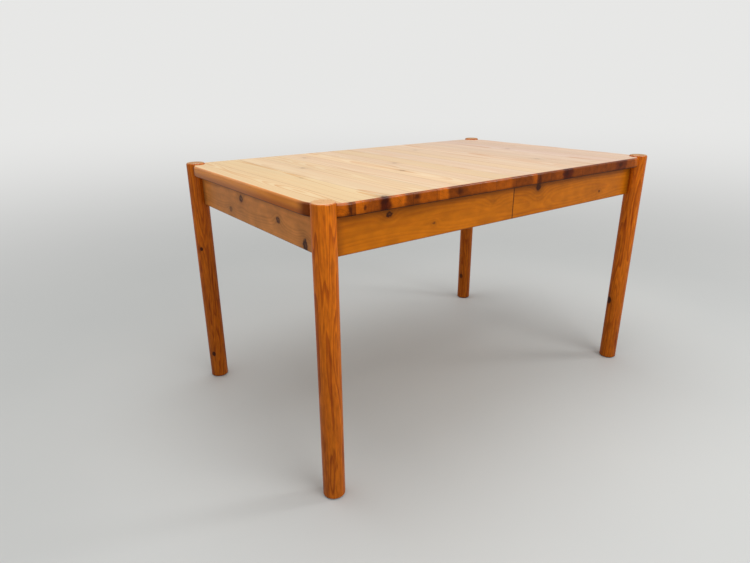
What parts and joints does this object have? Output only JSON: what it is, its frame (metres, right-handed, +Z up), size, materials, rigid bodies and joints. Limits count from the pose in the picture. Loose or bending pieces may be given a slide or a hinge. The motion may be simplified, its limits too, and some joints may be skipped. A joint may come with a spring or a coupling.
{
  "type": "extending dining table",
  "caption": "Extending dining table in varnished pine: board top split across the middle, round corner posts rising through the top, plain aprons, dovetailed slides and a stored leaf.",
  "frame": {"origin": "on the floor at the middle of the closed table", "axes": "+X along the length towards the half that is drawn out, +Y across the width, +Z up"},
  "size_m": [1.265, 0.805, 0.735],
  "materials": {
    "top_boards": "satin varnish over edge-glued pine boards",
    "posts": "satin amber varnish on turned pine",
    "aprons": "satin amber varnish on knotty pine",
    "slides": "plain waxed beech",
    "inner_wood": "bare pine",
    "dowels": "bare beech",
    "steel": "zinc plated"
  },
  "bodies": {
    "left_half": {"back_left_apron": "aprons", "back_left_corner_block": "inner_wood", "back_left_leg": "posts", "back_left_slide": "slides", "catch_pivot_screws": "steel", "catch_spacers": "steel", "catch_stop_pins": "steel", "front_left_apron": "aprons", "front_left_corner_block": "inner_wood", "front_left_leg": "posts", "front_left_slide": "slides", "left_cleat_screws": "steel", "left_end_apron": "aprons", "left_leg_bolts": "steel", "left_leg_nuts": "steel", "left_leg_washers": "steel", "left_slide_packers": "inner_wood", "left_slide_screws": "steel", "left_top": "top_boards", "left_top_cleats": "inner_wood"},
    "right_half": {"back_right_apron": "aprons", "back_right_corner_block": "inner_wood", "back_right_leg": "posts", "back_right_slide": "slides", "front_right_apron": "aprons", "front_right_corner_block": "inner_wood", "front_right_leg": "posts", "front_right_slide": "slides", "right_cleat_screws": "steel", "right_end_apron": "aprons", "right_leg_bolts": "steel", "right_leg_nuts": "steel", "right_leg_washers": "steel", "right_slide_packers": "inner_wood", "right_slide_screws": "steel", "right_top": "top_boards", "right_top_cleats": "inner_wood", "top_dowels": "dowels", "catch_studs": "steel"},
    "carriage": {"front_middle_slide": "slides", "back_middle_slide": "slides", "left_leaf_bearer": "slides", "right_leaf_bearer": "slides", "bearer_screws": "steel", "slide_stop_pins": "steel", "extension_leaf": "top_boards", "leaf_dowels": "dowels"},
    "front_hook": {"front_catch_hook": "steel"},
    "back_hook": {"back_catch_hook": "steel"}
  },
  "joints": [
    {"name": "extension", "type": "slide", "parent": "left_half", "child": "right_half", "axis": [1, 0, 0], "range_m": [0, 0.53]},
    {"name": "carriage_slide", "type": "slide", "parent": "left_half", "child": "carriage", "axis": [1, 0, 0], "range_m": [0, 0.265]},
    {"name": "front_catch", "type": "hinge", "parent": "left_half", "child": "front_hook", "pos_m": [-0.02205, -0.3442, 0.628], "axis": [0, 1, 0], "range_deg": [0, 110]},
    {"name": "back_catch", "type": "hinge", "parent": "left_half", "child": "back_hook", "pos_m": [-0.02205, 0.3442, 0.628], "axis": [0, 1, 0], "range_deg": [0, 110]}
  ],
  "couplings": [
    {"joint": "carriage_slide", "follows": "extension", "ratio": 0.5}
  ]
}
